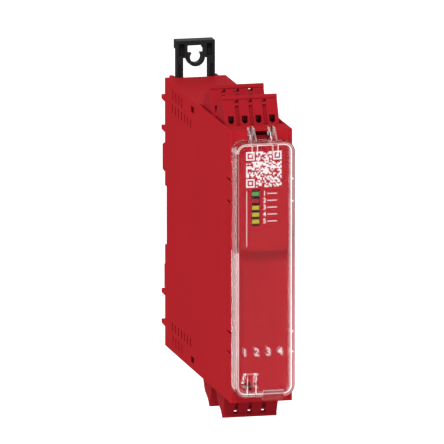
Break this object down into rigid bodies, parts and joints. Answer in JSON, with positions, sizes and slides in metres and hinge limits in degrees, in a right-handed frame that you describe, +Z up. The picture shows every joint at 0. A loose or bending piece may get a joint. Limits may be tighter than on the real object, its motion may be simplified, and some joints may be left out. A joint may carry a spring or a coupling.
{
  "type": "safety relay",
  "caption": "Slim red safety relay module with clear hinged front cover, plug-in terminal blocks above and below, and a rail seat with pull-out screw clips behind.",
  "frame": {"origin": "middle of the 35 mm rail, on the plane where the rail's brims seat, at mid-width", "axes": "+Z up, -Y towards the front cover, +X to the right seen from the front"},
  "size_m": [0.0226, 0.1158, 0.121],
  "materials": {
    "red_housing": "moulded, fine satin texture",
    "red_plug": "moulded, fine satin texture",
    "clear_cover": "clear moulded plastic, polished",
    "light_pipe": "clear moulded, lit from behind",
    "black_clip": "moulded black",
    "board": "solder mask",
    "relay_case": "sealed case",
    "ferrite": "sintered",
    "winding": "enamelled wire",
    "can": "sleeved can",
    "chip": "moulded",
    "disc": "dipped",
    "lamp": "clear lens",
    "brass_contact": "tinned",
    "spring_steel": "bright",
    "header_block": "moulded",
    "print": "white print"
  },
  "bodies": {
    "module": {"housing_tub": "red_housing", "front_cap": "red_housing", "light_pipe": "light_pipe", "circuit_board": "board", "output_relay_1": "relay_case", "output_relay_2": "relay_case", "transformer_core": "ferrite", "transformer_coil": "winding", "filter_capacitors": "can", "control_chips": "chip", "input_couplers": "chip", "surge_discs": "disc", "status_lamps": "lamp", "pin_header_top_front": "header_block", "header_pins_top_front": "brass_contact", "pin_header_top_rear": "header_block", "header_pins_top_rear": "brass_contact", "pin_header_bottom_front": "header_block", "header_pins_bottom_front": "brass_contact", "pin_header_bottom_rear": "header_block", "header_pins_bottom_rear": "brass_contact"},
    "cover": {"clear_cover": "clear_cover"},
    "clip": {"upper_clip": "black_clip"},
    "foot": {"rail_foot": "black_clip"},
    "plug_top_front": {"plug_body_top_front": "red_plug", "plug_contacts_top_front": "brass_contact", "plug_springs_top_front": "spring_steel"},
    "plug_top_rear": {"plug_body_top_rear": "red_plug", "plug_contacts_top_rear": "brass_contact", "plug_springs_top_rear": "spring_steel"},
    "plug_bottom_front": {"plug_body_bottom_front": "red_plug", "plug_contacts_bottom_front": "brass_contact", "plug_springs_bottom_front": "spring_steel"},
    "plug_bottom_rear": {"plug_body_bottom_rear": "red_plug", "plug_contacts_bottom_rear": "brass_contact", "plug_springs_bottom_rear": "spring_steel"}
  },
  "joints": [
    {"name": "cover_hinge", "type": "hinge", "parent": "module", "child": "cover", "pos_m": [0, -0.1019, 0.0497], "axis": [-1, 0, 0], "range_deg": [0, 110]},
    {"name": "clip_slide", "type": "slide", "parent": "module", "child": "clip", "axis": [0, 0, -1], "range_m": [0, 0.013]},
    {"name": "foot_slide", "type": "slide", "parent": "module", "child": "foot", "axis": [0, 0, -1], "range_m": [0, 0.013]},
    {"name": "plug_top_front_pull", "type": "slide", "parent": "module", "child": "plug_top_front", "axis": [0, 0, 1], "range_m": [0, 0.009]},
    {"name": "plug_top_rear_pull", "type": "slide", "parent": "module", "child": "plug_top_rear", "axis": [0, 0, 1], "range_m": [0, 0.009]},
    {"name": "plug_bottom_front_pull", "type": "slide", "parent": "module", "child": "plug_bottom_front", "axis": [0, 0, -1], "range_m": [0, 0.009]},
    {"name": "plug_bottom_rear_pull", "type": "slide", "parent": "module", "child": "plug_bottom_rear", "axis": [0, 0, -1], "range_m": [0, 0.009]}
  ]
}
